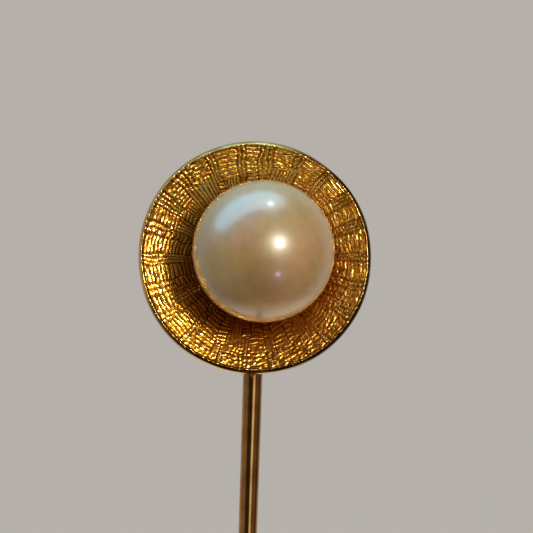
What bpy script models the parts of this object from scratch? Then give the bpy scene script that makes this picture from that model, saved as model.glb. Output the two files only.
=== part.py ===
"""Hat pin: a drilled pearl on a peg in a dished head, a long pin stem and a push-on point guard.

Lengths are in metres. +Z runs up the stem towards the head, and -Y is the pearl's side.
The origin lies on the stem's axis, a little below the head, where the hat's cloth holds the pin.
"""

import math

import bmesh
import bpy

MM = 0.001
GAP = 0.02 * MM  # kept between solids that touch on the real pin
SHARP_ANGLE = math.radians(35)  # edges sharper than this aren't shaded as round

# Overall
PIN_LENGTH = 76.0 * MM  # top of the head to the point
HEAD_CENTRE_Z = 12.0 * MM  # the pearl's centre, above the origin

# Dish: a stamped, flared shell with a rounded rim
DISH_RADIUS = 6.35 * MM
DISH_WALL = 0.35 * MM
RIM_RADIUS = 0.19 * MM
WALL_START = DISH_RADIUS - 1.6 * RIM_RADIUS  # where the flared wall leaves the rim
WALL_DROP = 0.13 * MM  # depth of that place behind the rim's front
WALL_SLOPE = 0.266
WALL_CURVE = 0.0367 / MM  # the wall steepens towards the middle
FLOOR_DEPTH = 2.14 * MM
DISH_HOLE_RADIUS = 0.80 * MM
DISH_SHIFT = (-0.28 * MM, -0.15 * MM)  # the dish sits this far off the stem's axis, in X and Z

# Pearl, peg, cup and cement, all on one axis
PEARL_RADIUS = 3.825 * MM
PEARL_DEPTH = -2.02 * MM  # the pearl's centre behind the rim's front, so it stands in front of it
DRILL_RADIUS = 0.44 * MM
DRILL_PAST_CENTRE = 0.9 * MM
PEG_HALF_SIDE = 0.27 * MM
PEG_TURNS = 3.0
CEMENT_THICKNESS = 0.10 * MM
CEMENT_RADIUS = 1.55 * MM
CUP_RADIUS = 1.75 * MM
CUP_LIP = 0.18 * MM
CUP_FOOT_RADIUS = 1.05 * MM

# Stem and the pad that joins it to the dish
STEM_TOP_RADIUS = 0.545 * MM
STEM_RADIUS = 0.51 * MM
STEM_ABOVE_CENTRE = 1.9 * MM
STEM_TAPER = (7.0 * MM, -5.0 * MM)  # heights between which the stem thins from top to main radius
POINT_LENGTH = 3.0 * MM
POINT_TIP_RADIUS = 0.04 * MM
PAD_RADIUS = 2.2 * MM
PAD_THICKNESS = 0.45 * MM
BRAZE_LENGTH = 3.4 * MM
BRAZE_REACH = 0.42 * MM  # how far each fillet spreads over the pad
BRAZE_FILM = 0.06 * MM

# Point guard: shell, mouth collar and the sprung sleeve that grips the stem
GUARD_COVER = 9.6 * MM  # stem hidden inside the guard when it is pushed home
SHELL_RADIUS = 2.3 * MM
SHELL_BORE = 1.95 * MM
SHELL_SEAT_BORE = 1.6 * MM
SHELL_END_WALL = 0.45 * MM
SHELL_FLAT = 1.1 * MM  # radius of the flat on the closed end
SHELL_ROUND = SHELL_RADIUS - SHELL_FLAT
POINT_CLEARANCE = 0.06 * MM
COLLAR_RADIUS = 2.6 * MM
COLLAR_FLANGE = 0.5 * MM
COLLAR_PLUG = 0.9 * MM
COLLAR_HOLE = 0.75 * MM
COLLAR_EDGE = 0.12 * MM
COLLAR_LEAD_IN = 0.25 * MM  # how much wider the hole is at the top, to guide the point
SLEEVE_RADIUS = 1.88 * MM
SLEEVE_BASE = 0.9 * MM
SLEEVE_LENGTH = 5.4 * MM
SLEEVE_THROAT_DEPTH = 4.5 * MM
SLEEVE_THROAT = STEM_RADIUS + 0.03 * MM
SLEEVE_WALL = 0.30 * MM
SLOT_WIDTH = 0.3 * MM
SLOT_START = 1.3 * MM
SLEEVE_PLAY = 0.06 * MM  # end play above and below the sleeve's ring
SHELL_SEAT_DEPTH = COLLAR_PLUG - GAP + SLEEVE_BASE + 2 * SLEEVE_PLAY

# Places that follow from the sizes
PAD_DEPTH = FLOOR_DEPTH + DISH_WALL + GAP  # the pad's front face behind the rim's front
STEM_DEPTH = PAD_DEPTH + PAD_THICKNESS + GAP + BRAZE_FILM + GAP + STEM_TOP_RADIUS
HEAD_FRONT_Y = -STEM_DEPTH  # the rim's front plane
POINT_Z = HEAD_CENTRE_Z + DISH_SHIFT[1] + DISH_RADIUS - PIN_LENGTH
COLLAR_TOP_Z = POINT_Z + GUARD_COVER
SHELL_TOP_Z = COLLAR_TOP_Z - COLLAR_FLANGE - GAP
SHELL_LENGTH = SHELL_TOP_Z - POINT_Z + POINT_CLEARANCE + SHELL_END_WALL
SLEEVE_TOP_Z = COLLAR_TOP_Z - COLLAR_FLANGE - COLLAR_PLUG - SLEEVE_PLAY

GOLD = (0.80, 0.52, 0.14)
BRAZE_GOLD = (0.74, 0.55, 0.24)
NACRE = (0.80, 0.73, 0.62)
CEMENT = (0.78, 0.74, 0.62)
SPRING_BRASS = (0.72, 0.58, 0.30)


def clear_scene():
    for found in list(bpy.data.objects):
        bpy.data.objects.remove(found)


def collection(name):
    made = bpy.data.collections.new(name)
    bpy.context.scene.collection.children.link(made)
    return made


def material(name, colour, roughness, metallic):
    made = bpy.data.materials.new(name)
    made.use_nodes = True
    shader = made.node_tree.nodes["Principled BSDF"]
    shader.inputs["Base Color"].default_value = (*colour, 1.0)
    shader.inputs["Roughness"].default_value = roughness
    shader.inputs["Metallic"].default_value = metallic
    return made


def empty(name, location, rotation=(0, 0, 0)):
    made = bpy.data.objects.new(name, None)
    made.location = location
    made.rotation_euler = rotation
    made.empty_display_size = 2 * MM
    PIN.objects.link(made)
    return made


def arc(centre_r, centre_z, radius, start, end, steps):
    """Points (r, z) round a centre, from one angle to another, in degrees from +r towards +z."""
    angles = [math.radians(start + (end - start) * i / steps) for i in range(steps + 1)]
    return [(centre_r + radius * math.cos(a), centre_z + radius * math.sin(a)) for a in angles]


def spread(first, last, steps):
    return [first + (last - first) * i / steps for i in range(steps + 1)]


def add_object(name, data, parent, location=(0, 0, 0)):
    made = bpy.data.objects.new(name, data)
    made.parent = parent
    made.location = location
    PIN.objects.link(made)
    return made


def turned(name, profile, parent, location, finish, steps=40, ring=True):
    """A solid turned round its parent's Z axis from points (r, z), outer side first, top to bottom.

    A ring's profile is a closed loop. Any other profile starts and ends on the axis.
    """
    mesh = bpy.data.meshes.new(name)
    edges = [(i, i + 1) for i in range(len(profile) - 1)]
    if ring:
        edges.append((len(profile) - 1, 0))
    mesh.from_pydata([(r, 0, z) for r, z in profile], edges, [])
    mesh.materials.append(finish)
    made = add_object(name, mesh, parent, location)
    screw = made.modifiers.new("turn", "SCREW")
    screw.steps = screw.render_steps = steps
    screw.use_smooth_shade = True
    screw.use_merge_vertices = True
    screw.merge_threshold = 1e-7
    return as_mesh(made)


def as_mesh(source):
    """Replaces an object by its evaluated mesh, welded and shaded, with its place and material."""
    bpy.context.view_layer.update()
    graph = bpy.context.evaluated_depsgraph_get()
    mesh = bpy.data.meshes.new_from_object(source.evaluated_get(graph))
    name, parent, finish = source.name, source.parent, source.data.materials[0]
    place = source.matrix_local.copy()
    bpy.data.objects.remove(source)
    edit = bmesh.new()
    edit.from_mesh(mesh)
    bmesh.ops.remove_doubles(edit, verts=edit.verts, dist=1e-7)
    bmesh.ops.recalc_face_normals(edit, faces=edit.faces)
    edit.to_mesh(mesh)
    edit.free()
    mesh.shade_smooth()
    mesh.set_sharp_from_angle(angle=SHARP_ANGLE)
    mesh.name = name
    if not mesh.materials:
        mesh.materials.append(finish)
    made = add_object(name, mesh, parent)
    made.matrix_local = place
    return made


def wall_depth(radius):
    """Depth of the dish's front surface behind the rim's front, at a distance from its centre."""
    inward = WALL_START - radius
    flare = WALL_DROP + WALL_SLOPE * inward + WALL_CURVE * inward * inward
    return min(flare, FLOOR_DEPTH)


def dish(head, finish):
    """The stamped dish: a rounded rim, a wall that flares to it, and a flat floor with a hole."""
    front = [(r, -wall_depth(r)) for r in spread(DISH_HOLE_RADIUS, WALL_START, 10)]
    back = []
    for r, z in front[:-1]:
        slope = (wall_depth(r + RIM_RADIUS) - wall_depth(r)) / RIM_RADIUS
        length = math.hypot(1, slope)
        back.append((r - DISH_WALL * slope / length, z - DISH_WALL / length))
    back[0] = (DISH_HOLE_RADIUS, -FLOOR_DEPTH - DISH_WALL)
    rim = arc(DISH_RADIUS - RIM_RADIUS, -RIM_RADIUS, RIM_RADIUS, 125, -75, 10)
    profile = rim + back[::-1] + front
    shift = (DISH_SHIFT[0], DISH_SHIFT[1], 0)
    return turned("dish", profile, head, shift, finish, steps=72)


def pearl(head, finish):
    """A drilled pearl: a sphere with a blind hole in its back for the peg."""
    drill_angle = -math.degrees(math.acos(DRILL_RADIUS / PEARL_RADIUS))
    sphere = arc(0, 0, PEARL_RADIUS, 90, drill_angle, 24)
    sphere[0] = (0, PEARL_RADIUS)
    hole = [(DRILL_RADIUS, DRILL_PAST_CENTRE), (0, DRILL_PAST_CENTRE + 0.6 * DRILL_RADIUS)]
    return turned("pearl", sphere + hole, head, (0, 0, -PEARL_DEPTH), finish, ring=False)


def ball_depth(radius, clearance):
    """Height, from the pearl's centre, of a surface that far outside the pearl's back."""
    return -math.sqrt((PEARL_RADIUS + clearance) ** 2 - radius * radius)


def bowl(radii, clearance):
    return [(r, ball_depth(r, clearance)) for r in radii]


def cement(head, finish):
    """The film of cement that fills the cup under the pearl, open where the peg passes."""
    radii = spread(DRILL_RADIUS, CEMENT_RADIUS, 5)
    under = bowl(radii, GAP + CEMENT_THICKNESS)
    over = bowl(radii, GAP)
    return turned("cement", under[::-1] + over, head, (0, 0, -PEARL_DEPTH), finish, steps=24)


def seat_cup(head, finish):
    """The cup that seats the pearl: a hollow that fits its back, on a flat foot."""
    radii = spread(DRILL_RADIUS, CUP_RADIUS, 6)
    hollow = bowl(radii, CEMENT_THICKNESS + 2 * GAP)
    lip = (CUP_RADIUS + CUP_LIP, hollow[-1][1] - 0.4 * CUP_LIP)
    foot_z = PEARL_DEPTH - FLOOR_DEPTH + GAP
    foot = [(CUP_FOOT_RADIUS, foot_z), (DRILL_RADIUS, foot_z)]
    return turned("seat_cup", [lip] + foot + hollow, head, (0, 0, -PEARL_DEPTH), finish)


def outline_curve(name, points):
    """A flat closed outline through points (x, y)."""
    curve = bpy.data.curves.new(name, "CURVE")
    curve.dimensions = "2D"
    spline = curve.splines.new("POLY")
    spline.points.add(len(points) - 1)
    for point, (x, y) in zip(spline.points, points):
        point.co = (x, y, 0, 1)
    spline.use_cyclic_u = True
    return curve


def peg(head, finish):
    """The pearl's peg: square wire twisted so that the cement keys to it."""
    corners = [(1, 1), (-1, 1), (-1, -1), (1, -1)]
    square = outline_curve("peg_section", [(x * PEG_HALF_SIDE, y * PEG_HALF_SIDE) for x, y in corners])
    section = bpy.data.objects.new("peg_section", square)
    section.hide_render = True
    section.display_type = "WIRE"
    GUIDES.objects.link(section)

    bottom = -PAD_DEPTH - PAD_THICKNESS
    top = -PEARL_DEPTH + DRILL_PAST_CENTRE - GAP
    steps = 36
    line = bpy.data.curves.new("peg", "CURVE")
    line.dimensions = "3D"
    line.twist_mode = "Z_UP"
    line.bevel_mode = "OBJECT"
    line.bevel_object = section
    line.use_fill_caps = True
    spline = line.splines.new("POLY")
    spline.points.add(steps)
    for i, point in enumerate(spline.points):
        point.co = (0, 0, bottom + (top - bottom) * i / steps, 1)
        point.tilt = 2 * math.pi * PEG_TURNS * i / steps
    line.materials.append(finish)
    return as_mesh(add_object("peg", line, head))


def back_pad(head, finish):
    """The disc brazed behind the dish, which the peg ends in and the stem lies on."""
    top = -PAD_DEPTH
    hole = 1.5 * PEG_HALF_SIDE + GAP
    edge = 0.08 * MM
    profile = [
        (PAD_RADIUS - edge, top),
        (PAD_RADIUS, top - edge),
        (PAD_RADIUS, top - PAD_THICKNESS + edge),
        (PAD_RADIUS - edge, top - PAD_THICKNESS),
        (hole, top - PAD_THICKNESS),
        (hole, top),
    ]
    return turned("back_pad", profile, head, (0, 0, 0), finish)


def braze(finish):
    """The braze between stem and pad: a film under the wire that rises in a fillet each side."""
    pad_y = -STEM_TOP_RADIUS - GAP - BRAZE_FILM
    seat_radius = STEM_TOP_RADIUS + GAP
    seat = arc(0, 0, seat_radius, -90, -25, 7)
    foot_x = seat[-1][0] + BRAZE_REACH
    hollow_x = seat[-1][0] + 0.25 * BRAZE_REACH
    hollow_y = 0.62 * pad_y
    right = seat + [(hollow_x, hollow_y), (foot_x, pad_y)]
    left = [(-x, y) for x, y in right[:0:-1]]

    section = outline_curve("braze", left + right)
    section.fill_mode = "BOTH"
    section.extrude = BRAZE_LENGTH / 2
    section.materials.append(finish)
    return as_mesh(add_object("braze", section, None, (0, 0, HEAD_CENTRE_Z)))


def stem(finish):
    """The pin: round wire, a little thicker at the head, ground to a point."""
    top = HEAD_CENTRE_Z + STEM_ABOVE_CENTRE
    edge = 0.15 * MM
    profile = [
        (0, top),
        (STEM_TOP_RADIUS - edge, top),
        (STEM_TOP_RADIUS, top - edge),
        (STEM_TOP_RADIUS, STEM_TAPER[0]),
        (STEM_RADIUS, STEM_TAPER[1]),
        (STEM_RADIUS, POINT_Z + POINT_LENGTH),
        (0.86 * STEM_RADIUS, POINT_Z + 0.62 * POINT_LENGTH),
        (0.52 * STEM_RADIUS, POINT_Z + 0.26 * POINT_LENGTH),
        (POINT_TIP_RADIUS, POINT_Z + POINT_TIP_RADIUS),
        (0, POINT_Z),
    ]
    return turned("stem", profile, None, (0, 0, 0), finish, ring=False)


def guard_shell(guard, finish):
    """The drawn shell: a tube with a rounded closed end, and a step that the sleeve sits on."""
    inner_floor = -SHELL_LENGTH + SHELL_END_WALL
    inner_round = SHELL_SEAT_BORE - SHELL_FLAT
    inner_shoulder = arc(SHELL_FLAT, inner_floor + inner_round, inner_round, -90, 0, 5)
    bore_end = [(0, inner_floor)] + inner_shoulder
    mouth = [
        (SHELL_SEAT_BORE, -SHELL_SEAT_DEPTH),
        (SHELL_BORE, -SHELL_SEAT_DEPTH),
        (SHELL_BORE, 0),
        (SHELL_RADIUS, 0),
    ]
    shoulder = arc(SHELL_FLAT, -SHELL_LENGTH + SHELL_ROUND, SHELL_ROUND, 0, -90, 10)
    dome = shoulder + [(0, -SHELL_LENGTH)]
    place = (0, 0, SHELL_TOP_Z)
    return turned("guard_shell", bore_end + mouth + dome, guard, place, finish, ring=False)


def guard_collar(guard, finish):
    """The flanged collar that closes the shell's mouth and guides the point in."""
    plug = SHELL_BORE - GAP
    rim = arc(COLLAR_RADIUS - COLLAR_EDGE, -COLLAR_EDGE, COLLAR_EDGE, 90, 0, 4)
    profile = rim + [
        (COLLAR_RADIUS, -COLLAR_FLANGE),
        (plug, -COLLAR_FLANGE),
        (plug, -COLLAR_FLANGE - COLLAR_PLUG),
        (COLLAR_HOLE, -COLLAR_FLANGE - COLLAR_PLUG),
        (COLLAR_HOLE, -COLLAR_FLANGE),
        (COLLAR_HOLE + COLLAR_LEAD_IN, 0),
    ]
    return turned("guard_collar", profile, guard, (0, 0, COLLAR_TOP_Z), finish)


def grip_sleeve(guard, finish):
    """The sprung sleeve: a ring with four fingers that close on the stem at a throat."""
    ring_bore = 1.1 * MM
    finger_root = ring_bore + SLEEVE_WALL
    flare = 0.2 * MM
    profile = [
        (SLEEVE_RADIUS, 0),
        (SLEEVE_RADIUS, -SLEEVE_BASE),
        (finger_root, -SLEEVE_BASE),
        (SLEEVE_THROAT + SLEEVE_WALL, -SLEEVE_THROAT_DEPTH),
        (SLEEVE_THROAT + SLEEVE_WALL + flare, -SLEEVE_LENGTH),
        (SLEEVE_THROAT + flare, -SLEEVE_LENGTH),
        (SLEEVE_THROAT, -SLEEVE_THROAT_DEPTH),
        (ring_bore, -SLEEVE_BASE),
        (ring_bore, 0),
    ]
    sleeve = turned("grip_sleeve", profile, guard, (0, 0, SLEEVE_TOP_Z), finish, steps=32)
    for number in range(2):
        cutter = slot_cutter(number)
        cut = sleeve.modifiers.new(cutter.name, "BOOLEAN")
        cut.operation = "DIFFERENCE"
        cut.object = cutter
    return sleeve


def slot_cutter(number):
    """A plate across the sleeve that cuts a pair of opposite slots, up to the ring."""
    height = SLEEVE_LENGTH - SLOT_START + SLEEVE_BASE
    mesh = bpy.data.meshes.new(f"slot_cutter_{number}")
    edit = bmesh.new()
    bmesh.ops.create_cube(edit, size=1)
    bmesh.ops.scale(edit, verts=edit.verts, vec=(SLOT_WIDTH, 4 * SLEEVE_RADIUS, height))
    edit.to_mesh(mesh)
    edit.free()
    cutter = bpy.data.objects.new(mesh.name, mesh)
    # A small turn keeps the slots' faces off the sleeve's own edges
    cutter.rotation_euler.z = math.radians(3 + 90 * number)
    cutter.location.z = SLEEVE_TOP_Z - SLOT_START - height / 2
    cutter.hide_render = True
    cutter.display_type = "WIRE"
    GUIDES.objects.link(cutter)
    return cutter


clear_scene()
PIN = collection("hat_pin")
GUIDES = collection("cutters_and_guides")

gold = material("gold_plate", GOLD, 0.22, 1.0)
braze_gold = material("braze_alloy", BRAZE_GOLD, 0.35, 1.0)
nacre = material("nacre", NACRE, 0.2, 0.0)
cement_resin = material("cement_resin", CEMENT, 0.4, 0.0)
spring_brass = material("spring_brass", SPRING_BRASS, 0.3, 1.0)

head_axis = empty("head_axis", (0, HEAD_FRONT_Y, HEAD_CENTRE_Z), (math.pi / 2, 0, 0))
guard_axis = empty("guard_axis", (0, 0, 0))

dish(head_axis, gold)
pearl(head_axis, nacre)
cement(head_axis, cement_resin)
seat_cup(head_axis, gold)
peg(head_axis, gold)
back_pad(head_axis, gold)
braze(braze_gold)
stem(gold)
guard_shell(guard_axis, gold)
guard_collar(guard_axis, gold)
grip_sleeve(guard_axis, spring_brass)
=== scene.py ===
import math

import bpy
import numpy as np
from mathutils import Matrix, Vector


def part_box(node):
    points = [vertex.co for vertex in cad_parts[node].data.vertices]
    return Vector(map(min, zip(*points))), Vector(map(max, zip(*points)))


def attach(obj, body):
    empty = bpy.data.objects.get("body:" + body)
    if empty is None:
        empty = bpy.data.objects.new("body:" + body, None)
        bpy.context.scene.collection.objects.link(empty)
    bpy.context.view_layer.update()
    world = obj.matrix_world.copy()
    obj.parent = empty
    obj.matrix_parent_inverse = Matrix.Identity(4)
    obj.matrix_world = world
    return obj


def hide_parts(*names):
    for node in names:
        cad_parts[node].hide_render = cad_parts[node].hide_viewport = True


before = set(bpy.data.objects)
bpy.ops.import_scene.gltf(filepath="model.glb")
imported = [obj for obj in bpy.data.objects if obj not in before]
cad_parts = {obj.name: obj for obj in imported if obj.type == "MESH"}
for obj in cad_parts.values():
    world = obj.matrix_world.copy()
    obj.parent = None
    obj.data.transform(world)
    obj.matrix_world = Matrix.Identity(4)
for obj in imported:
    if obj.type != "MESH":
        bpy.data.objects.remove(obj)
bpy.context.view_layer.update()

MM = 0.001


# ---------------------------------------------------------------- places, from the frame

def middle(node):
    low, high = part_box(node)
    return (low + high) / 2


DISH_LOW, DISH_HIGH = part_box("dish")
DISH_RADIUS = (DISH_HIGH.x - DISH_LOW.x) / 2
DISH_CENTRE = Vector((middle("dish").x, DISH_LOW.y, middle("dish").z))

PEARL_LOW, PEARL_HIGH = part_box("pearl")
PEARL_RADIUS = (PEARL_HIGH.z - PEARL_LOW.z) / 2
PEARL_CENTRE = Vector((middle("pearl").x, PEARL_LOW.y + PEARL_RADIUS, middle("pearl").z))

PAD_LOW, PAD_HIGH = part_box("back_pad")
STEM_LOW, STEM_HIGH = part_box("stem")
SHELL_LOW, SHELL_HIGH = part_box("guard_shell")
COLLAR_LOW, COLLAR_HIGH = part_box("guard_collar")
CUP_LOW, CUP_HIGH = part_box("seat_cup")

# A turned piece's own Z axis points out of the head, towards the pearl's side
HEAD_TURN = Matrix.Rotation(math.pi / 2, 4, "X")


# ---------------------------------------------------------------- mesh helpers

def arc(centre_r, centre_z, radius, start, end, steps):
    """Points (r, z) round a centre, from one angle to another, in degrees from +r towards +z."""
    angles = np.radians(np.linspace(start, end, steps + 1))
    return list(zip(centre_r + radius * np.cos(angles), centre_z + radius * np.sin(angles)))


def rounded(corners, radius, steps=4):
    """A closed outline with each corner turned into a short curve of about that radius."""
    made = []
    count = len(corners)
    for i, corner in enumerate(corners):
        here = Vector(corner)
        before = Vector(corners[i - 1]) - here
        after = Vector(corners[(i + 1) % count]) - here
        cut = min(radius, 0.45 * before.length, 0.45 * after.length)
        start = here + before.normalized() * cut
        end = here + after.normalized() * cut
        for j in range(steps + 1):
            t = j / steps
            point = start * (1 - t) ** 2 + here * 2 * t * (1 - t) + end * t * t
            made.append((point.x, point.y))
    return made


def mesh_piece(name, vertices, faces, sharp_degrees=None):
    """An object with a smooth mesh, creased where faces meet at more than the given angle."""
    mesh = bpy.data.meshes.new(name)
    mesh.from_pydata([tuple(v) for v in vertices], [], faces)
    mesh.validate()
    mesh.shade_smooth()
    if sharp_degrees:
        mesh.set_sharp_from_angle(angle=math.radians(sharp_degrees))
    made = bpy.data.objects.new(name, mesh)
    bpy.context.scene.collection.objects.link(made)
    return made


def grid_faces(rows, columns, ring):
    """Quads between neighbouring rows of points, closed round the columns, and round the rows of a ring."""
    faces = []
    for i in range(rows if ring else rows - 1):
        a = i * columns
        b = (i + 1) % rows * columns
        for j in range(columns):
            k = (j + 1) % columns
            faces.append((a + j, b + j, b + k, a + k))
    return faces


def turned(name, profile, place, columns=96, ring=True, shape=None, sharp_degrees=None):
    """A solid turned from points (r, z): a closed ring, or a profile whose two ends lie on the axis.

    The profile runs down the outer side. shape(radius, angle, z) may return a new radius.
    """
    profile = list(profile)
    top = bottom = None
    if not ring:
        top, bottom = profile[0][1], profile[-1][1]
        profile = profile[1:-1]
    angles = np.linspace(0, 2 * math.pi, columns, endpoint=False)
    r = np.array([p[0] for p in profile])[:, None] + 0 * angles
    z = np.array([p[1] for p in profile])[:, None] + 0 * angles
    if shape:
        r = shape(r, angles[None, :], z)
    points = np.stack([r * np.cos(angles), r * np.sin(angles), z], axis=-1).reshape(-1, 3)
    faces = grid_faces(len(profile), columns, ring)
    if not ring:
        last = (len(profile) - 1) * columns
        points = np.vstack([points, (0, 0, top), (0, 0, bottom)])
        for j in range(columns):
            k = (j + 1) % columns
            faces.append((len(points) - 2, j, k))
            faces.append((len(points) - 1, last + k, last + j))
    made = mesh_piece(name, points, faces, sharp_degrees)
    made.data.transform(place)
    return made


def paint(made, key, values):
    """Store one number for each of the mesh's points, for its material to read."""
    layer = made.data.attributes.new(key, "FLOAT", "POINT")
    layer.data.foreach_set("value", values.astype(np.float32).ravel())


def smooth_noise(seed, rows, columns, row_size, column_size):
    """Soft random heights of about -1 to 1, with lumps of the given sizes in cells, closed all round."""
    field = np.random.default_rng(seed).standard_normal((rows, columns))
    across = np.fft.fftfreq(rows)[:, None] * row_size
    along = np.fft.rfftfreq(columns)[None, :] * column_size
    keep = np.exp(-2 * (across ** 2 + along ** 2) * math.pi)
    soft = np.fft.irfft2(np.fft.rfft2(field) * keep, s=(rows, columns))
    return soft / (2 * soft.std())


# ---------------------------------------------------------------- material helpers

class Nodes:
    """A node material under construction: nodes are made with node(), and joined with link()."""

    def __init__(self, name):
        self.material = bpy.data.materials.new(name)
        self.material.use_nodes = True
        self.tree = self.material.node_tree
        self.shader = self.tree.nodes["Principled BSDF"]
        self.place = self.node("ShaderNodeTexCoord").outputs["Object"]

    def node(self, kind, **settings):
        made = self.tree.nodes.new(kind)
        for key, value in settings.items():
            setattr(made, key, value)
        return made

    def link(self, output, socket):
        self.tree.links.new(output, socket)
        return output

    def noise(self, size, detail=3.0, roughness=0.55, stretch=(1, 1, 1)):
        """Noise with lumps of about that size in metres, stretched along the object's axes."""
        mapping = self.node("ShaderNodeMapping")
        mapping.inputs["Scale"].default_value = tuple(1 / (size * s) for s in stretch)
        self.link(self.place, mapping.inputs["Vector"])
        texture = self.node("ShaderNodeTexNoise")
        texture.inputs["Scale"].default_value = 1.0
        texture.inputs["Detail"].default_value = detail
        texture.inputs["Roughness"].default_value = roughness
        self.link(mapping.outputs["Vector"], texture.inputs["Vector"])
        return texture.outputs["Fac"]

    def attribute(self, name):
        return self.node("ShaderNodeAttribute", attribute_name=name).outputs["Fac"]

    def ramp(self, value, stops):
        """A colour ramp of (position, colour or number)."""
        made = self.node("ShaderNodeValToRGB")
        elements = made.color_ramp.elements
        while len(elements) < len(stops):
            elements.new(0.5)
        for element, (position, colour) in zip(elements, stops):
            element.position = position
            if isinstance(colour, (int, float)):
                colour = (colour, colour, colour)
            element.color = (*colour, 1.0)
        self.link(value, made.inputs["Fac"])
        return made.outputs["Color"]

    def mix(self, factor, first, second, blend="MIX"):
        made = self.node("ShaderNodeMix", data_type="RGBA", blend_type=blend)
        for value, socket in ((factor, 0), (first, 6), (second, 7)):
            if isinstance(value, bpy.types.NodeSocket):
                self.link(value, made.inputs[socket])
            elif isinstance(value, tuple):
                made.inputs[socket].default_value = (*value, 1.0)
            else:
                made.inputs[socket].default_value = value
        return made.outputs[2]

    def bump(self, height, distance, strength=1.0, normal=None):
        made = self.node("ShaderNodeBump")
        made.inputs["Strength"].default_value = strength
        made.inputs["Distance"].default_value = distance
        self.link(height, made.inputs["Height"])
        if normal:
            self.link(normal, made.inputs["Normal"])
        return made.outputs["Normal"]

    def finish(self, colour=None, roughness=None, normal=None, **fixed):
        for name, value in fixed.items():
            self.shader.inputs[name.replace("_", " ")].default_value = value
        for socket, output in (("Base Color", colour), ("Roughness", roughness), ("Normal", normal)):
            if output:
                self.link(output, self.shader.inputs[socket])
        return self.material


GOLD_BRIGHT = (0.97, 0.56, 0.12)
# a painted highlight on the strands' crests
GOLD_CREST_HIGHLIGHT = (1.0, 0.63, 0.19)
GOLD_DEEP = (0.73, 0.315, 0.03)
# painted shade down the grooves
GOLD_GROOVE_SHADE = (0.19, 0.064, 0.006)
GOLD_RIM = (0.66, 0.44, 0.14)
GOLD_RIM_SHADE = (0.15, 0.105, 0.045)  # painted shade on the rim, for the dark room it reflects
GOLD_SHADE_SHARE = (0.34, 0.20, 0.12)  # painted shade by the pearl and on one side of the dish, as a share


def pressed_gold():
    """Gold plate over the pressed weave: painted highlight on the crests, painted shade in the grooves,
    finely pitted.

    The mesh says how high each point of the relief is, where painted shade falls by the pearl and on one
    side, where the plain rim is, and where painted shade darkens the rim.
    """
    nodes = Nodes("pressed_gold")
    relief = nodes.attribute("relief")
    patches = nodes.noise(1.4 * MM, detail=2.0)
    # The relief's colours: painted shade down the grooves and a painted highlight on the crests
    body = nodes.ramp(relief, [(0.0, GOLD_GROOVE_SHADE), (0.42, GOLD_DEEP), (0.80, GOLD_BRIGHT), (1.0, GOLD_CREST_HIGHLIGHT)])
    aged = nodes.mix(nodes.ramp(patches, [(0.35, 0.0), (0.75, 0.35)]), body, GOLD_DEEP)
    # More painted shade down the grooves
    groove_shade = nodes.ramp(relief, [(0.25, 1.0), (0.75, 0.40)])
    # Painted shade by the pearl and on one side, stronger in the grooves
    shade_share = nodes.mix(1.0, nodes.attribute("painted_shade"), groove_shade, "MULTIPLY")
    shaded = nodes.mix(shade_share, aged, GOLD_SHADE_SHARE, "MULTIPLY")
    # Painted shade on the rim
    rim_tone = nodes.mix(nodes.attribute("rim_shade"), GOLD_RIM, GOLD_RIM_SHADE)
    colour = nodes.mix(nodes.attribute("rim"), shaded, rim_tone)
    grain = nodes.noise(0.035 * MM, detail=2.0)
    roughness = nodes.ramp(relief, [(0.0, 0.42), (0.7, 0.24), (1.0, 0.12)])
    pitting = nodes.bump(grain, 0.004 * MM)
    return nodes.finish(colour, roughness, pitting, Metallic=1.0)


def polished_gold(name, colour, wear, roughness, grain_stretch=(1, 1, 1), grain=0.002 * MM):
    """Polished gold plate: slow patches of deeper tone, and a fine grain that the stretch draws out."""
    nodes = Nodes(name)
    patches = nodes.noise(1.1 * MM, detail=3.0)
    tone = nodes.mix(nodes.ramp(patches, [(0.35, 0.0), (0.7, 1.0)]), colour, wear)
    fine = nodes.noise(0.09 * MM, detail=3.0, stretch=grain_stretch)
    rough = nodes.ramp(fine, [(0.3, 0.7 * roughness), (0.7, 1.35 * roughness)])
    return nodes.finish(tone, rough, nodes.bump(fine, grain), Metallic=1.0)


NACRE_CREAM = (0.62, 0.455, 0.21)
NACRE_GOLD = (0.65, 0.435, 0.165)
NACRE_ROSE = (0.71, 0.43, 0.23)
NACRE_CLOUD = (0.36, 0.25, 0.125)
NACRE_LOW_SHADE = (0.36, 0.20, 0.075)  # painted shade low on the pearl's front


def nacre():
    """Pearl: a cream body with soft patches of gold and rose, and small clouds, under a clear lustre."""
    nodes = Nodes("nacre")
    slow = nodes.noise(3.2 * MM, detail=1.0)
    body = nodes.ramp(slow, [(0.30, NACRE_CREAM), (0.50, NACRE_GOLD), (0.70, NACRE_ROSE)])
    cloud = nodes.noise(0.55 * MM, detail=3.0)
    clouded = nodes.mix(nodes.ramp(cloud, [(0.35, 0.0), (0.70, 0.35)]), body, NACRE_CLOUD)
    # Painted shade low on the pearl's front
    colour = nodes.mix(nodes.attribute("low_shade"), clouded, NACRE_LOW_SHADE)
    fine = nodes.noise(0.10 * MM, detail=2.0)
    rough = nodes.ramp(fine, [(0.3, 0.37), (0.7, 0.43)])
    skin = nodes.bump(nodes.noise(0.45 * MM, detail=2.0), 0.003 * MM)
    return nodes.finish(
        colour, rough, skin, IOR=2.35,
        Coat_Weight=1.0, Coat_Roughness=0.19, Coat_IOR=1.6,
        Subsurface_Weight=0.15, Subsurface_Radius=(0.9, 0.6, 0.4), Subsurface_Scale=0.3 * MM,
    )


def cement_resin():
    """Set cement: cloudy, pale and a little uneven."""
    nodes = Nodes("cement_resin")
    cloud = nodes.noise(0.3 * MM)
    colour = nodes.ramp(cloud, [(0.3, (0.62, 0.55, 0.40)), (0.7, (0.74, 0.68, 0.54))])
    return nodes.finish(colour, nodes.ramp(cloud, [(0.3, 0.3), (0.7, 0.5)]), nodes.bump(cloud, 0.01 * MM))


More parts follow.
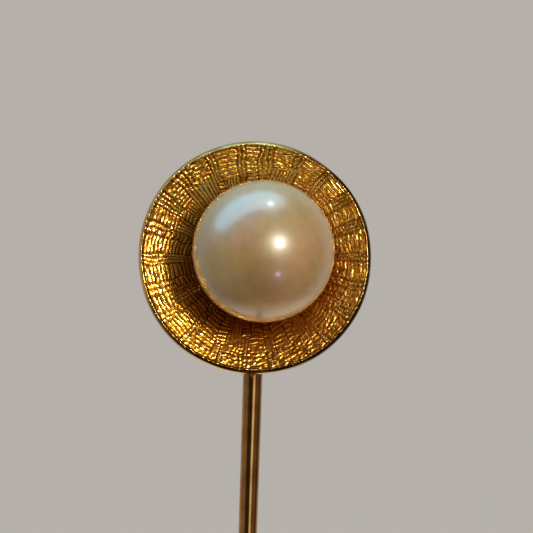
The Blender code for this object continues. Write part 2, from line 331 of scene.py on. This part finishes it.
def spring_brass():
    """Bare brass with fine lines along the way it was drawn."""
    nodes = Nodes("spring_brass")
    drawn = nodes.noise(0.05 * MM, stretch=(1, 1, 18))
    colour = nodes.ramp(drawn, [(0.3, (0.55, 0.38, 0.15)), (0.7, (0.80, 0.62, 0.30))])
    rough = nodes.ramp(drawn, [(0.3, 0.24), (0.7, 0.42)])
    return nodes.finish(colour, rough, nodes.bump(drawn, 0.003 * MM), Metallic=1.0)


# ---------------------------------------------------------------- dish

RIM_RADIUS = 0.19 * MM
WALL_START = DISH_RADIUS - 1.6 * RIM_RADIUS
WALL_DROP = 0.13 * MM
WALL_SLOPE = 0.266
WALL_CURVE = 0.0367 / MM
FLOOR_DEPTH = 2.14 * MM
DISH_WALL = 0.35 * MM
DISH_HOLE_RADIUS = 0.80 * MM

PAIRS = 22  # pairs of blocks round the dish, one of radial strands and one of tangential strands
RADIAL_SHARE = 0.36  # of each pair's width
STRAND_PITCH = 0.215 * MM
STRAND_BOW = 0.07 * MM
STRAND_SLANT = 0.14 * MM
STRAND_END = 0.10 * MM  # a radial strand's end dips over this length
WANDER = 0.040 * MM  # how far the strands wander in and out
PAIR_WANDER = 0.045  # how far the blocks' sides wander, as a share of a pair
SWAP_RADII = (4.2, 5.2)  # mm: a block's strands may turn the other way inside a radius in this range
SWAP_CHANCES = (0.85, 0.3)  # of that, for a block of radial strands and for one of tangential strands
STRAND_HEIGHTS = 64  # heights drawn for each block's strands, which start again when they run out
MIDDLE_RADIUS = 5.0 * MM
RELIEF = 0.035 * MM
RELIEF_LEVEL = 0.62  # the relief's height that lies on the plain wall
PLAIN_TONE = 0.95  # what plain metal counts as, for the material
PATTERN_INSIDE = 3.1 * MM  # the pattern fades out below the pearl, within this radius
PATTERN_COLUMNS = 1100
PATTERN_ROWS = 126
FADE_IN_ROWS, FADE_OUT_ROWS = 12, 5

WORN_ANGLE = math.radians(302)  # the side where the pattern is worn
WORN_FLAT = 0.40
LUMPS, WORN_LUMPS = 0.17, 0.33  # lumps on the strands, and how much more of them where worn
INNER_LUMPS = 0.6  # their share on the inner wall
INNER_WALL, INNER_WALL_FADE = 4.4 * MM, 0.7 * MM

PEARL_SHADE_RADIUS, PEARL_SHADE_FADE = 4.8 * MM, 0.7 * MM  # painted shade by the pearl, within this radius
SIDE_SHADE_ANGLE = math.radians(155)  # the side where painted shade reaches all the way out
SIDE_SHADE = 0.95
FRONT_RIM_SHADE = (math.radians(312), -0.50)  # the middle of the rim's painted shade, and the cosine at its ends
EDGE_RIM_SHADE = (math.radians(325), 0.45)
RIM_SHADE_FADE = 0.35

RIM_SWAY = 0.026 * MM
CREST_BEND = 0.014 * MM
CREST_SHARE = (1, 1, 1, 1, 1, 1, 0.67, 0.33)  # of a bend, over the crest's points and down the bevel's
NARROW_ANGLE = math.radians(172)  # the side where the bevel was bent narrower
NARROWING = 0.08 * MM


def wall_depth(radius):
    """Depth of the dish's front surface behind the rim's front, at a distance from its centre."""
    inward = WALL_START - radius
    return np.minimum(WALL_DROP + WALL_SLOPE * inward + WALL_CURVE * inward * inward, FLOOR_DEPTH)


def ridge(t, width=1.0):
    """A flat-topped strand over t from 0 to 1, narrowed to a share of its width."""
    off = np.clip(np.abs(2 * t - 1) / width, 0, 1)
    return (1 - off ** 3.2) ** 0.8


def weave(radius, angle):
    """Height of the wicker pattern, from 0 in a groove to 1 on a strand, by radius and angle."""
    draw = np.random.default_rng(11)
    share = RADIAL_SHARE * draw.uniform(0.70, 1.35, PAIRS)
    swapped = draw.uniform(0, 1, (PAIRS, 2)) < SWAP_CHANCES
    swap_radius = np.where(swapped, draw.uniform(*SWAP_RADII, (PAIRS, 2)) * MM, 0)
    pitch = STRAND_PITCH * draw.uniform(0.90, 1.12, (PAIRS, 2))
    phase = draw.uniform(0, 1, (PAIRS, 2))
    bow = STRAND_BOW * draw.uniform(-0.3, 1.5, (PAIRS, 2))
    slant = STRAND_SLANT * draw.uniform(-1, 1, (PAIRS, 2))
    strand_height = draw.uniform(0.60, 1.0, (PAIRS, 2, STRAND_HEIGHTS))

    rows, columns = radius.shape
    radius = radius + WANDER * smooth_noise(6, rows, columns, 14, 16)
    cell = angle / (2 * math.pi) * PAIRS + PAIR_WANDER * smooth_noise(7, rows, columns, 16, 14)
    pair = np.floor(cell).astype(int) % PAIRS
    across = cell - np.floor(cell)
    second = (across > share[pair]).astype(int)
    start = np.where(second, share[pair], 0)
    width = np.where(second, 1 - share[pair], share[pair])
    side = (across - start) / width
    inside_swap = radius < swap_radius[pair, second]
    radial = (second == 1) == inside_swap

    edge_gap = 0.5 - np.abs(side - 0.5)
    tuck = np.clip(edge_gap / 0.10, 0, 1) ** 0.5
    bowed = radius + bow[pair, second] * 4 * side * (1 - side) + slant[pair, second] * (side - 0.5)
    strand_t = bowed / pitch[pair, second] + phase[pair, second]
    number = np.floor(strand_t).astype(int) % STRAND_HEIGHTS
    tangential = ridge(strand_t - np.floor(strand_t), 0.6 + 0.4 * tuck) * tuck
    tangential = tangential * strand_height[pair, second, number]

    block_width = width * 2 * math.pi / PAIRS * MIDDLE_RADIUS
    lines = np.maximum(2, np.round(block_width / pitch[pair, second]))
    line_t = side * lines
    number = np.floor(line_t).astype(int) % STRAND_HEIGHTS
    end_gap = np.abs(radius - swap_radius[pair, second]) / STRAND_END
    radial_line = ridge(line_t - np.floor(line_t)) * np.clip(end_gap, 0, 1) ** 0.5
    radial_line = radial_line * strand_height[pair, second, number]
    return np.where(radial, radial_line, tangential)


def between(first, second, shares):
    """Points on the straight line from one point to another."""
    return [tuple(a + (b - a) * t for a, b in zip(first, second)) for t in shares]


def rim_profile():
    """The rim's section, outwards, in two lists: its crest and bevel, then its steep edge and back corner."""
    edge = DISH_RADIUS
    crest_radius, corner_radius = 0.055 * MM, 0.042 * MM
    crest = arc(edge - 0.235 * MM, -crest_radius, crest_radius, 140, 43, 5)
    shoulder = [(edge - 0.072 * MM, -0.145 * MM), (edge - 0.056 * MM, -0.168 * MM)]
    corner = arc(edge - 0.045 * MM, -0.330 * MM, corner_radius, 17, -75, 5)
    bevel = between(crest[-1], shoulder[0], (0.33, 0.67))
    steep = between(shoulder[-1], corner[0], (0.1, 0.9))
    behind = [(edge - 0.10 * MM, -0.392 * MM), (edge - 0.20 * MM, -0.428 * MM)]
    return crest + bevel + shoulder, steep + corner + behind


def dish_sections():
    """The dish's outline in lists of points: floor, woven wall, the rim's front, the rim's edge, and back."""
    floor = [(r, -float(wall_depth(r))) for r in np.linspace(DISH_HOLE_RADIUS, PATTERN_INSIDE, 5)[:-1]]
    wall = [(r, -float(wall_depth(r))) for r in np.linspace(PATTERN_INSIDE, WALL_START, PATTERN_ROWS)]
    rim_front, rim_edge = rim_profile()
    back = []
    for r in np.linspace(WALL_START, DISH_HOLE_RADIUS, 10)[1:-1]:
        slope = float(wall_depth(r + RIM_RADIUS) - wall_depth(r)) / RIM_RADIUS
        length = math.hypot(1, slope)
        back.append((r - DISH_WALL * slope / length, -float(wall_depth(r)) - DISH_WALL / length))
    back.append((DISH_HOLE_RADIUS, -FLOOR_DEPTH - DISH_WALL))
    return floor, wall, rim_front, rim_edge, back


def build_dish():
    """The dish as one closed shell, with the weave in relief, a bent rim and a plain back."""
    sections = dish_sections()
    profile = [point for section in sections for point in section]
    floor_end, wall_end, front_end, edge_end, rows = np.cumsum([len(section) for section in sections])
    columns = PATTERN_COLUMNS
    angle = np.linspace(0, 2 * math.pi, columns, endpoint=False)[None, :] + np.zeros((rows, 1))
    r = np.array([p[0] for p in profile])[:, None] + np.zeros((1, columns))
    z = np.array([p[1] for p in profile])[:, None] + np.zeros((1, columns))

    woven = np.zeros((rows, 1))
    woven[floor_end:wall_end] = 1.0
    woven[floor_end:floor_end + FADE_IN_ROWS, 0] = np.linspace(0, 1, FADE_IN_ROWS)
    woven[wall_end:wall_end + FADE_OUT_ROWS, 0] = np.linspace(1, 0, FADE_OUT_ROWS + 1)[:-1]
    worn = (0.5 + 0.5 * np.cos(angle - WORN_ANGLE)) ** 1.6
    outer_wall = np.clip((r - INNER_WALL) / INNER_WALL_FADE, 0, 1)
    lumps = smooth_noise(3, rows, columns, 2.5, 3.2) * (1 + 0.8 * smooth_noise(4, rows, columns, 40, 90))
    lumpy = (LUMPS + WORN_LUMPS * worn) * (INNER_LUMPS + (1 - INNER_LUMPS) * outer_wall)
    relief = np.clip(weave(r, angle) + lumpy * lumps, 0, 1.2)
    height = RELIEF * (1 - WORN_FLAT * worn ** 1.8) * (relief - RELIEF_LEVEL) * woven

    wave = smooth_noise(5, rows, columns, rows * 2, 45)
    on_rim = np.zeros((rows, 1))
    on_rim[wall_end:edge_end] = 1
    sway = RIM_SWAY * wave * on_rim
    narrowing = NARROWING * (0.5 + 0.5 * np.cos(angle - NARROW_ANGLE)) ** 3
    crest_share = np.zeros((rows, 1))
    crest_share[wall_end:wall_end + len(CREST_SHARE), 0] = CREST_SHARE
    bend = crest_share * (narrowing + CREST_BEND * smooth_noise(8, rows, columns, rows * 2, 10))
    step = 0.5 * RIM_RADIUS
    slope = (wall_depth(r - step) - wall_depth(r + step)) / (2 * step)
    length = np.hypot(1, slope)
    r_out = r + sway + bend - height * slope / length
    z_out = z + 0.7 * sway + height / length

    points = np.stack([r_out * np.cos(angle), r_out * np.sin(angle), z_out], axis=-1).reshape(-1, 3)
    faces = [face[::-1] for face in grid_faces(rows, columns, ring=True)]
    made = mesh_piece("head_dish", points, faces)

    # Painted shade by the pearl within a radius, and on one side all the way out
    side_shading = SIDE_SHADE * (0.5 + 0.5 * np.cos(angle - SIDE_SHADE_ANGLE)) ** 4
    # Painted shade on the rim's front and edge, darkest on its lower right
    rim_shade = np.zeros((rows, columns))
    for part, (centre, end) in (
        (slice(wall_end, front_end), FRONT_RIM_SHADE),
        (slice(front_end, edge_end), EDGE_RIM_SHADE),
    ):
        dark = (np.cos(angle - centre) - end) / RIM_SHADE_FADE + 0.5 * wave
        rim_shade[part] = np.clip(dark, 0, 1)[part]
    paint(made, "relief", relief * woven + PLAIN_TONE * (1 - woven))
    paint(made, "painted_shade", np.clip((PEARL_SHADE_RADIUS - r) / PEARL_SHADE_FADE + side_shading, side_shading, 1))
    paint(made, "rim", on_rim * (1 - woven) + 0 * r)
    paint(made, "rim_shade", rim_shade)
    made.data.transform(Matrix.Translation(DISH_CENTRE) @ HEAD_TURN)
    made.data.materials.append(pressed_gold())
    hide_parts("dish")
    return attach(made, "pin")


# ---------------------------------------------------------------- pearl, cup, pad, stem, braze

DRILL_RADIUS = 0.44 * MM
DRILL_PAST_CENTRE = 0.9 * MM
# Ways from the pearl's centre (right, up, out of the head), and sizes as shares of its radius
PIT_WAY = np.array((0.70, -0.13, 0.70))
PIT_SIZE, PIT_DEPTH = 0.022, 0.012
# Painted shade low on the pearl's front: its way, its size, and how dark it is
LOW_SHADE_WAY = np.array((-0.03, -0.50, 0.86))
LOW_SHADE_SIZE, LOW_SHADE_SHARE = 0.36, 0.55
SWELL, SHRINK = 0.0022, 0.003


def build_pearl():
    """The pearl: a little out of round, with a drilled hole in its back and a small pit."""
    drill_angle = -math.degrees(math.acos(DRILL_RADIUS / PEARL_RADIUS))
    sphere = arc(0, 0, PEARL_RADIUS, 90, drill_angle, 120)
    sphere[0] = (0, PEARL_RADIUS)
    hole = [(DRILL_RADIUS, 0), (DRILL_RADIUS, DRILL_PAST_CENTRE), (0, DRILL_PAST_CENTRE + 0.6 * DRILL_RADIUS)]
    made = turned("head_pearl", sphere + hole, Matrix.Identity(4), columns=160, ring=False)
    co = np.array([v.co for v in made.data.vertices])
    far = np.linalg.norm(co, axis=1)
    skin = far > 0.9 * PEARL_RADIUS
    way = co / np.maximum(far, 1e-9)[:, None]

    def near(centre, size):
        return np.exp(-((way - centre) ** 2).sum(axis=1) / size ** 2)

    swell = SWELL * np.sin(2.1 * way[:, 0] + 1.3) * np.cos(2.6 * way[:, 1] - 0.4) - SHRINK
    scale = 1 + np.where(skin, swell - PIT_DEPTH * near(PIT_WAY, PIT_SIZE), 0)
    made.data.vertices.foreach_set("co", (co * scale[:, None]).astype(np.float32).ravel())
    # Painted shade low on the pearl's front
    paint(made, "low_shade", LOW_SHADE_SHARE * near(LOW_SHADE_WAY, LOW_SHADE_SIZE))
    made.data.transform(Matrix.Translation(PEARL_CENTRE) @ HEAD_TURN)
    made.data.materials.append(nacre())
    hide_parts("pearl")
    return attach(made, "pin")


def build_stem():
    """The wire: round, easing thinner below the head, with its top rounded and its point ground."""
    top_radius, main_radius, top_round = STEM_HIGH.x, 0.51 * MM, 0.15 * MM
    ease_start, ease_length = 7.0 * MM, 12.0 * MM
    top, point, point_length = STEM_HIGH.z, STEM_LOW.z, 3.0 * MM
    tip_radius, tip_round = 0.03 * MM, 0.02 * MM
    profile = [(0, top)] + arc(top_radius - top_round, top - top_round, top_round, 90, 0, 6)
    for z in np.linspace(top - 1.0 * MM, point + point_length, 60):
        t = np.clip((ease_start - z) / ease_length, 0, 1)
        profile.append((top_radius + (main_radius - top_radius) * t * t * (3 - 2 * t), z))
    for t in np.linspace(0, 1, 16)[1:-1]:
        profile.append((main_radius * (1 - t ** 1.7) + tip_radius * t, point + point_length * (1 - t)))
    profile.append((0.022 * MM, point + tip_round))
    profile.append((0, point))
    made = turned("pin_stem", profile, Matrix.Identity(4), columns=64, ring=False)
    made.data.materials.append(polished_gold(
        "stem_gold", (0.60, 0.375, 0.165), (0.39, 0.215, 0.08), 0.07, grain_stretch=(1, 1, 40)))
    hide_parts("stem")
    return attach(made, "pin")


def build_pad(satin):
    """The pad behind the dish, with broken edges."""
    radius = PAD_HIGH.x
    thickness = PAD_HIGH.y - PAD_LOW.y
    hole = 0.425 * MM
    corners = [(radius, 0), (radius, -thickness), (hole, -thickness), (hole, 0)]
    wobble = smooth_noise(21, 1, 96, 1, 14)

    def edge(r, angle, z):
        return r * (1 - 0.008 * np.abs(wobble) * (r > 0.5 * radius))

    place = Matrix.Translation((0, PAD_LOW.y, middle("back_pad").z)) @ HEAD_TURN
    made = turned("head_pad", rounded(corners, 0.09 * MM), place, shape=edge)
    made.data.materials.append(satin)
    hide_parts("back_pad")
    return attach(made, "pin")


def build_cup(satin):
    """The cup that seats the pearl, with a thin rolled lip."""
    lip_radius = CUP_HIGH.x
    foot_z = -(CUP_HIGH.y - CUP_LOW.y)
    hole, seat_gap = 0.45 * MM, 0.14 * MM
    radii = np.linspace(hole, lip_radius - 0.16 * MM, 14)
    centre_z = CUP_LOW.y - PEARL_CENTRE.y
    hollow = [(r, centre_z - math.sqrt((PEARL_RADIUS + seat_gap) ** 2 - r * r)) for r in radii]
    lip = arc(lip_radius - 0.08 * MM, hollow[-1][1] - 0.03 * MM, 0.07 * MM, 110, -40, 8)
    foot = [(1.05 * MM, foot_z), (hole, foot_z)]
    place = Matrix.Translation((0, CUP_LOW.y, middle("seat_cup").z)) @ HEAD_TURN
    made = turned("pearl_cup", lip + foot + hollow, place, columns=72, sharp_degrees=40)
    made.data.materials.append(satin)
    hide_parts("seat_cup")
    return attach(made, "pin")


def build_braze():
    """Braze that has run along the wire and out over the pad, thick by the wire and thin at its edge."""
    pad_y = PAD_HIGH.y + 0.004 * MM
    bead, film = 0.62 * STEM_HIGH.x, 0.02 * MM  # its thickness by the wire, and at its edge
    half_width, half_length = 0.91 * MM, 1.7 * MM
    rings, columns = 26, 96
    angles = np.linspace(0, 2 * math.pi, columns, endpoint=False)
    edge = 1 - 0.10 * np.abs(smooth_noise(31, 1, columns, 1, 16))[0]
    points, faces = [], []
    for i in range(rings):
        share = 1 - i / rings
        x = half_width * share * edge * np.sign(np.cos(angles)) * np.abs(np.cos(angles)) ** 0.8
        z = half_length * share * edge * np.sign(np.sin(angles)) * np.abs(np.sin(angles)) ** 0.8
        climb = np.clip((half_width - np.abs(x)) / (half_width - bead), 0, 1) ** 2.2
        end = np.clip(1.25 - np.abs(z / half_length) ** 3, 0, 1)
        height = film + bead * climb * end
        if i == 0:
            height = 0 * x
        points += list(zip(x, pad_y + height, z))
    faces = [face[::-1] for face in grid_faces(rings, columns, ring=False)]
    last = (rings - 1) * columns
    points += [(0, pad_y + bead, 0), (0, pad_y, 0)]
    for j in range(columns):
        k = (j + 1) % columns
        faces.append((len(points) - 2, last + j, last + k)[::-1])
        faces.append((len(points) - 1, j, k))
    made = mesh_piece("head_braze", points, faces, sharp_degrees=60)
    made.data.transform(Matrix.Translation((0, 0, middle("braze").z)))
    made.data.materials.append(polished_gold(
        "braze_metal", (0.74, 0.52, 0.22), (0.46, 0.30, 0.11), 0.30, grain=0.006 * MM))
    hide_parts("braze")
    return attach(made, "pin")


# ---------------------------------------------------------------- point guard

def build_shell(polish):
    """The guard's drawn shell, with a crimp that holds the collar's plug."""
    outer, length = SHELL_HIGH.x, SHELL_HIGH.z - SHELL_LOW.z
    bore, seat_bore, flat, end_wall = 1.95 * MM, 1.6 * MM, 1.1 * MM, 0.45 * MM
    step_z, mouth_round = -1.9 * MM, 0.06 * MM
    crimp_z, crimp_depth, crimp_width = -0.55 * MM, 0.075 * MM, 0.10 * MM
    outside = arc(outer - mouth_round, -mouth_round, mouth_round, 90, 0, 4)
    for z in np.linspace(-0.1 * MM, -1.2 * MM, 28):
        dent = crimp_depth * math.exp(-((z - crimp_z) / crimp_width) ** 2)
        outside.append((outer - dent, z))
    outside += [(outer, z) for z in np.linspace(-1.5 * MM, -length + 1.35 * MM, 12)]
    outside += arc(flat, -length + outer - flat, outer - flat, 0, -90, 18)[1:]
    outside.append((0, -length))
    inside = [(0, -length + end_wall)]
    inside += arc(flat, -length + end_wall + seat_bore - flat, seat_bore - flat, -90, 0, 8)
    inside += [(seat_bore, step_z), (bore, step_z), (bore, -0.04 * MM), (bore + 0.04 * MM, 0)]
    place = Matrix.Translation((0, 0, SHELL_HIGH.z))
    made = turned("guard_shell_skin", inside + outside, place, columns=96, ring=False, sharp_degrees=40)
    made.data.materials.append(polish)
    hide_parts("guard_shell")
    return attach(made, "guard_cap")


def build_collar(polish):
    """The collar: a coin-edged flange, a plug in the shell's mouth and a flared hole for the point."""
    outer, length = COLLAR_HIGH.x, COLLAR_HIGH.z - COLLAR_LOW.z
    flange, plug, hole, lead_in = 0.5 * MM, 1.93 * MM, 0.75 * MM, 0.25 * MM
    flutes, flute_depth, flute_edge = 56, 0.045 * MM, 0.10 * MM
    corners = [
        (outer, 0), (outer, -flange), (plug, -flange), (plug, -length),
        (hole, -length), (hole, -flange), (hole + lead_in, 0),
    ]
    profile = rounded(corners, 0.09 * MM, steps=5)

    def coin_edge(r, angle, z):
        rim = np.clip((r - outer + flute_edge) / flute_edge, 0, 1) * (z > -flange - 0.01 * MM)
        return r - flute_depth * rim * (0.5 - 0.5 * np.cos(flutes * angle)) ** 0.6

    place = Matrix.Translation((0, 0, COLLAR_HIGH.z))
    made = turned("guard_collar_ring", profile, place, columns=flutes * 8, shape=coin_edge, sharp_degrees=40)
    made.data.materials.append(polish)
    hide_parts("guard_collar")
    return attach(made, "guard_cap")


satin_gold = polished_gold("satin_gold", (0.74, 0.50, 0.17), (0.50, 0.29, 0.08), 0.30, grain=0.004 * MM)
guard_gold = polished_gold(
    "guard_gold", (0.80, 0.54, 0.18), (0.62, 0.38, 0.11), 0.14, grain_stretch=(9, 9, 1))

build_dish()
build_pearl()
build_stem()
build_pad(satin_gold)
build_cup(satin_gold)
build_braze()
build_shell(guard_gold)
build_collar(guard_gold)

KEPT = {"cement": cement_resin(), "peg": satin_gold, "grip_sleeve": spring_brass()}
for node, finish in KEPT.items():
    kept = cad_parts[node]
    kept.data.materials.clear()
    kept.data.materials.append(finish)


# ---------------------------------------------------------------- camera, light and stage

VIEW_AZIMUTH = math.radians(-3.9)
VIEW_ELEVATION = math.radians(-4.5)
VIEW_ROLL = math.radians(1.8)
VIEW_DISTANCE = 135 * MM
VIEW_WIDTH = 28.85 * MM  # seen at the head's distance
SENSOR = 36.0
AIM_RIGHT, AIM_UP = 0.59 * MM, -0.52 * MM  # the aim's offset from the dish's centre

back = Vector((
    math.sin(VIEW_AZIMUTH) * math.cos(VIEW_ELEVATION),
    -math.cos(VIEW_AZIMUTH) * math.cos(VIEW_ELEVATION),
    math.sin(VIEW_ELEVATION),
))
level_right = Vector((0, 0, 1)).cross(back).normalized()
level_up = back.cross(level_right)
right = level_right * math.cos(VIEW_ROLL) + level_up * math.sin(VIEW_ROLL)
up = level_up * math.cos(VIEW_ROLL) - level_right * math.sin(VIEW_ROLL)
aim = DISH_CENTRE + right * AIM_RIGHT + up * AIM_UP

camera_data = bpy.data.cameras.new("camera")
camera_data.sensor_width = SENSOR
camera_data.lens = SENSOR * VIEW_DISTANCE / VIEW_WIDTH
camera_data.clip_start = 0.001
camera_data.clip_end = 20
camera = bpy.data.objects.new("camera", camera_data)
bpy.context.scene.collection.objects.link(camera)
camera_turn = Matrix((right, up, back)).transposed().to_4x4()
camera.matrix_world = Matrix.Translation(aim + back * VIEW_DISTANCE) @ camera_turn
bpy.context.scene.camera = camera


def lamp(name, direction, distance, size, power, colour):
    """A round area light out in a direction (right, up, towards the camera) from the head."""
    data = bpy.data.lights.new(name, "AREA")
    data.shape = "DISK"
    data.size = size
    data.energy = power
    data.color = colour
    made = bpy.data.objects.new(name, data)
    bpy.context.scene.collection.objects.link(made)
    way = (right * direction[0] + up * direction[1] + back * direction[2]).normalized()
    made.location = PEARL_CENTRE + way * distance
    made.rotation_mode = "QUATERNION"
    made.rotation_quaternion = way.to_track_quat("Z", "Y")
    made.visible_camera = False
    return made


LAMP_DISTANCE = 0.40
lamp("key", (0.436, 0.218, 0.871), LAMP_DISTANCE, 0.05, 0.80, (1.0, 0.90, 0.72))
lamp("top_lamp", (0.149, 0.98, 0.117), LAMP_DISTANCE, 0.034, 0.10, (1.0, 0.95, 0.88))
lamp("low_lamp", (0.37, -0.60, 0.70), LAMP_DISTANCE, 0.024, 0.055, (0.9, 0.62, 1.0))

# Soft light from all round: direction (right, up, towards the camera), angle of the full patch and of its
# soft edge in degrees, and colour
SOFT_PATCHES = [
    ((0, 0, -1), 40, 45, (0.40, 0.375, 0.345)),
    ((-0.95, -0.15, 0.10), 20, 34, (0.235, 0.175, 0.105)),
    ((0.05, -0.80, -0.60), 14, 24, (0.60, 0.47, 0.32)),
    ((0.80, 0.10, 0.60), 15, 32, (0.12, 0.08, 0.04)),
    ((0.35, 0.20, 0.915), 5, 14, (0.95, 0.88, 0.70)),
]
# The cool window is one even light as wide as these patches together
WINDOW_PATCHES = [
    ((-0.76, 0.65, 0.04), 13, 8),
    ((-0.55, 0.83, 0.03), 16, 8),
    ((-0.28, 0.95, 0.0), 17, 8),
    ((0.04, 0.99, -0.04), 16, 9),
]
WINDOW_LIGHT = (0.78, 1.78, 2.55)
ROOM_DIM = (0.042, 0.028, 0.016)  # what is left of the surroundings under all the patches


def studio_world():
    """A pale wall behind the object, a cool window above it, and a dim warm room all round."""
    world = bpy.data.worlds.new("studio")
    world.use_nodes = True
    bpy.context.scene.world = world
    tree = world.node_tree
    place = tree.nodes.new("ShaderNodeTexCoord").outputs["Generated"]

    def patch(direction, full, soft):
        """1 inside a round patch of the surroundings, easing to 0 at its soft edge."""
        way = (right * direction[0] + up * direction[1] + back * direction[2]).normalized()
        dot = tree.nodes.new("ShaderNodeVectorMath")
        dot.operation = "DOT_PRODUCT"
        dot.inputs[1].default_value = way
        tree.links.new(place, dot.inputs[0])
        edge = tree.nodes.new("ShaderNodeMapRange")
        edge.interpolation_type = "SMOOTHSTEP"
        edge.inputs["From Min"].default_value = math.cos(math.radians(full + soft))
        edge.inputs["From Max"].default_value = math.cos(math.radians(full))
        tree.links.new(dot.outputs["Value"], edge.inputs["Value"])
        return edge.outputs["Result"]

    window = patch(*WINDOW_PATCHES[0])
    for place_and_size in WINDOW_PATCHES[1:]:
        larger = tree.nodes.new("ShaderNodeMath")
        larger.operation = "MAXIMUM"
        tree.links.new(window, larger.inputs[0])
        tree.links.new(patch(*place_and_size), larger.inputs[1])
        window = larger.outputs["Value"]

    lights = [(window, WINDOW_LIGHT)]
    lights += [(patch(direction, full, soft), colour) for direction, full, soft, colour in SOFT_PATCHES]
    total = None
    for mask, colour in lights:
        layer = tree.nodes.new("ShaderNodeVectorMath")
        layer.operation = "MULTIPLY_ADD"
        layer.inputs[1].default_value = colour
        layer.inputs[2].default_value = ROOM_DIM
        tree.links.new(mask, layer.inputs[0])
        if total:
            tree.links.new(total, layer.inputs[2])
        total = layer.outputs["Vector"]
    tree.links.new(total, tree.nodes["Background"].inputs["Color"])


def studio_floor():
    """A pale floor that curves up into walls all round, seen behind the object but not reflected in it."""
    floor_z = SHELL_LOW.z - 20 * MM
    flat, curve, height = 0.9, 0.7, 2.2
    profile = [(0, floor_z)] + [(flat * i / 6, floor_z) for i in range(1, 7)]
    profile += arc(flat, floor_z + curve, curve, -90, 0, 24)
    profile += [(flat + curve, floor_z + height), (0, floor_z + height + 0.8)]
    made = turned("studio_floor", profile, Matrix.Identity(4), columns=96, ring=False)
    nodes = Nodes("studio_paper")
    nodes.finish(**{"Base_Color": (0.04, 0.038, 0.036, 1.0), "Roughness": 1.0, "Specular_IOR_Level": 0.0})
    nodes.shader.inputs["Emission Color"].default_value = (0.468, 0.431, 0.392, 1.0)
    nodes.shader.inputs["Emission Strength"].default_value = 0.965
    made.data.materials.append(nodes.material)
    made.visible_diffuse = False
    made.visible_glossy = False
    made.visible_transmission = False
    made.visible_shadow = False


studio_world()
studio_floor()

bpy.context.scene.view_settings.view_transform = "Standard"
